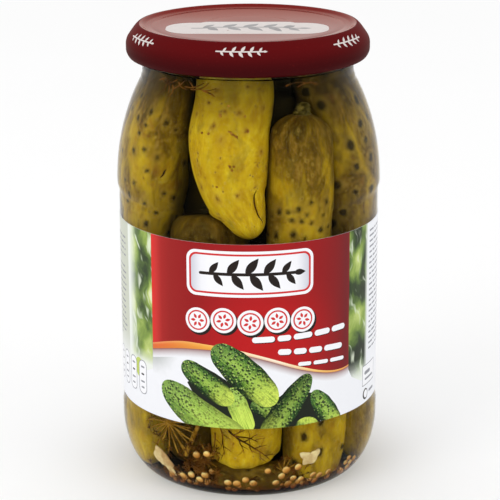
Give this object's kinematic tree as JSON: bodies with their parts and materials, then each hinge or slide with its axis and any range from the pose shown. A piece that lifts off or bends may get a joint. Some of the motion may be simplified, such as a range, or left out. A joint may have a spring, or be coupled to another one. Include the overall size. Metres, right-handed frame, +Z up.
{
  "type": "pickle jar",
  "caption": "Sealed cylindrical glass jar of whole pickled cucumbers in brine, with a recessed body, rounded shoulder, twist-off metal cap and wrap-round paper label.",
  "frame": {"origin": "centre of the base, on the plane the jar stands on", "axes": "+Z up along the jar's axis; -Y towards the middle of the label's front, +Y towards the label's glued overlap"},
  "size_m": [0.0944, 0.0942, 0.1642],
  "materials": {
    "jar": "smooth clear soda-lime glass with a faint green tint",
    "brine": "yellow brine full of whole pickled cucumbers, dill, garlic and mustard seed",
    "label": "semi-gloss printed paper, red over white with printed cucumbers",
    "cap": "gloss dark red lacquer on tinplate"
  },
  "bodies": {
    "root": {"jar": "jar", "brine": "brine", "label": "label", "cap": "cap"}
  },
  "joints": []
}
